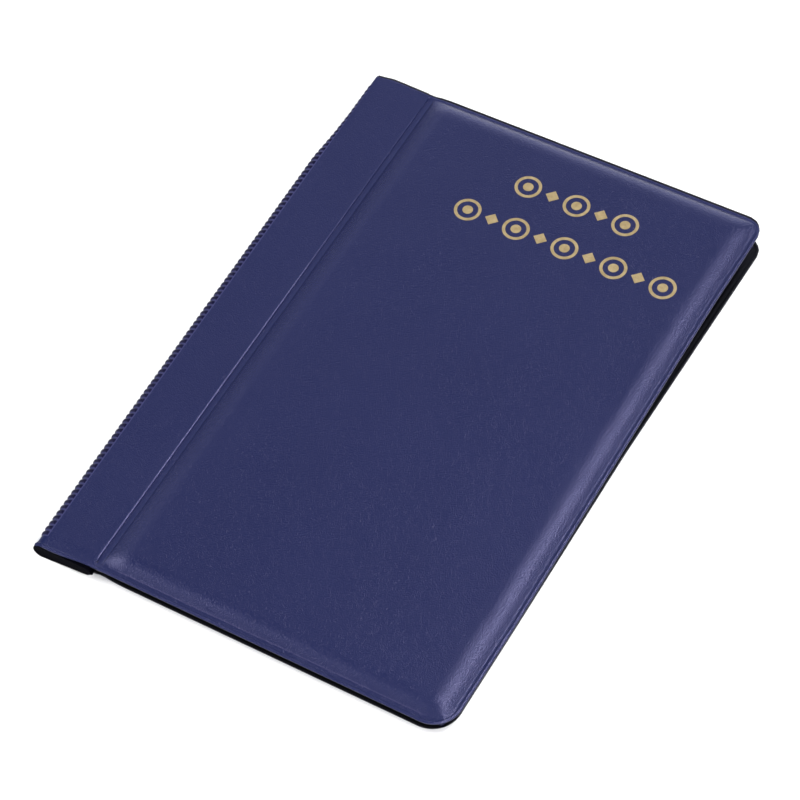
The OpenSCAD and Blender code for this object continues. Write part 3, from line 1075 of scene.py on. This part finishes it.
def build_pockets(body, number):
    """Pocket films in rows, puffed between their welds, and the flaps tucked into them."""
    low, high = box_mm(body + "_pockets")
    low[1], high[1] = box_mm(body + "_leaf")[0][1], box_mm(body + "_leaf")[1][1]
    gap = high[2] - low[2]
    row_h = (high[1] - low[1]) / POCKET_ROWS
    column_w = (high[0] + 1 - low[0]) / POCKET_COLUMNS
    pockets, flaps = Plan(), Plan()
    for row in range(POCKET_ROWS):
        foot = low[1] + row * row_h + EDGE_W
        mouth = foot + row_h - WELD_W - MOUTH_H - EDGE_W
        pockets.patch(np.array([[(x, y) for y in spaced(foot, mouth, 1.7)]
                                for x in spaced(low[0] + PLAIN_W, high[0] - FREE_EDGE, 1.5)]))
        for column in range(POCKET_COLUMNS):
            x0 = low[0] + column * column_w + 2 * WELD_W + (3 if column == 0 else 0)
            x1 = low[0] + (column + 1) * column_w - 2 * WELD_W
            top = foot + row_h - 1.0
            flaps.patch(np.array([[(x, y) for y in spaced(mouth - FLAP_L, top, 2.5)]
                                  for x in spaced(x0, x1, 4)]))

    def puff(x, y):
        """0 at the welds round a pocket, 1 inside them."""
        u = np.abs(np.sin(math.pi * (x - low[0]) / column_w))
        v = np.abs(np.sin(math.pi * (y - low[1]) / row_h))
        return smooth(0.1, 0.45, np.minimum(u, v * 1.4))

    page_part(body + "_pocket_film", pockets, lambda x, y: low[2] + 0.45 * gap * puff(x, y),
              lambda x, y: low[2] + 0.5 * gap + 0.5 * gap * puff(x, y), body, number,
              body + "_pockets")
    page_part(body + "_flap_film", flaps, lambda x, y: low[2] + 0.1 * gap + 0 * x,
              lambda x, y: low[2] + 0.35 * gap + 0 * x, body, number, body + "_flaps")


build_front_skin()
build_back_skin()
build_spine_fold()
build_spine_lining()
build_end_binding()
build_linings()
build_front_core()
build_back_foam()
build_block()
build_foil()
for number, body in enumerate(page_bodies, 1):
    build_leaf(body, number)
    build_pockets(body, number)
keep_cad("back_board", board)


# ---------- stage ----------

def build_floor():
    """Pale table; the stage is in metres."""
    size = 3.0
    mesh = bpy.data.meshes.new("floor")
    mesh.from_pydata([(-size, -size, 0), (size, -size, 0), (size, size, 0), (-size, size, 0)],
                     [], [(0, 1, 2, 3)])
    matt = material_nodes("pale_floor").finish(Base_Color=rgb(0.93, 0.93, 0.93), Roughness=0.9,
                                               Specular_IOR_Level=0.0)
    mesh.materials.append(matt)
    obj = bpy.data.objects.new("floor", mesh)
    bpy.context.scene.collection.objects.link(obj)


def aim(obj, place, target):
    """Puts a lamp or camera in its place, looking at a target."""
    obj.location = place
    obj.rotation_euler = (Vector(target) - Vector(place)).to_track_quat("-Z", "Y").to_euler()
    bpy.context.scene.collection.objects.link(obj)


def soft_light(name, direction, distance, size, watts, colour=(1, 1, 1)):
    """Area light that shines on the album from a direction."""
    data = bpy.data.lights.new(name, "AREA")
    data.color = colour
    data.shape = "RECTANGLE"
    data.size, data.size_y = size
    data.energy = watts
    place = Vector(direction).normalized() * distance
    aim(bpy.data.objects.new(name, data), place, (0, 0, 0))


def build_camera():
    """Camera at the photo's angle, with a long lens."""
    azimuth, elevation, distance = math.radians(28.7), math.radians(54.39), 1.1994
    data = bpy.data.cameras.new("camera")
    data.sensor_width = 36
    data.lens = 180
    data.clip_end = 10
    back = Vector((math.sin(azimuth) * math.cos(elevation),
                   -math.cos(azimuth) * math.cos(elevation), math.sin(elevation)))
    target = Vector((1.16, -7.0, HEM_Z)) * MM
    camera = bpy.data.objects.new("camera", data)
    aim(camera, target + back * distance, target)
    bpy.context.scene.camera = camera


def build_world():
    """Soft studio light, brightest half-way up the walls and dim overhead."""
    low_light, wall_light, top_light = 0.25, 0.8, 0.06
    n = Nodes(bpy.data.worlds.new("studio"), "Background", "Generated")
    up = n.xyz()["Z"]
    walls = n.ramp(up, 0.3, 0.68, low_light, 1.0)
    overhead = n.ramp(up, 0.74, 0.87, wall_light, top_light)
    bpy.context.scene.world = n.finish(Color=rgb(0.97, 0.98, 1.0),
                                       Strength=n.math("MULTIPLY", overhead, walls))
    bpy.context.scene.view_settings.view_transform = "Standard"


def build_lights():
    """The key light grazes the fore-edge slope, and the large ones at the sides light the
    floor evenly."""
    soft_light("key", (0.34, 0.28, 0.89), 1.25, (0.5, 0.2), 8.5)
    soft_light("back", (-0.2, 0.95, 0.22), 1.5, (1.6, 0.5), 5.5, (0.68, 0.72, 1.0))
    soft_light("spine_side", (-0.62, 0.5, 0.6), 1.4, (0.4, 0.4), 0.2, (0.7, 0.72, 1.0))
    soft_light("over", (-0.15, -0.3, 0.95), 1.6, (0.4, 0.4), 0.7)
    soft_light("left", (-0.95, -0.3, 0.62), 1.8, (1.3, 1.3), 30)
    soft_light("right", (0.8, -0.5, 0.75), 1.8, (1.3, 1.3), 33)


build_floor()
build_world()
build_camera()
build_lights()
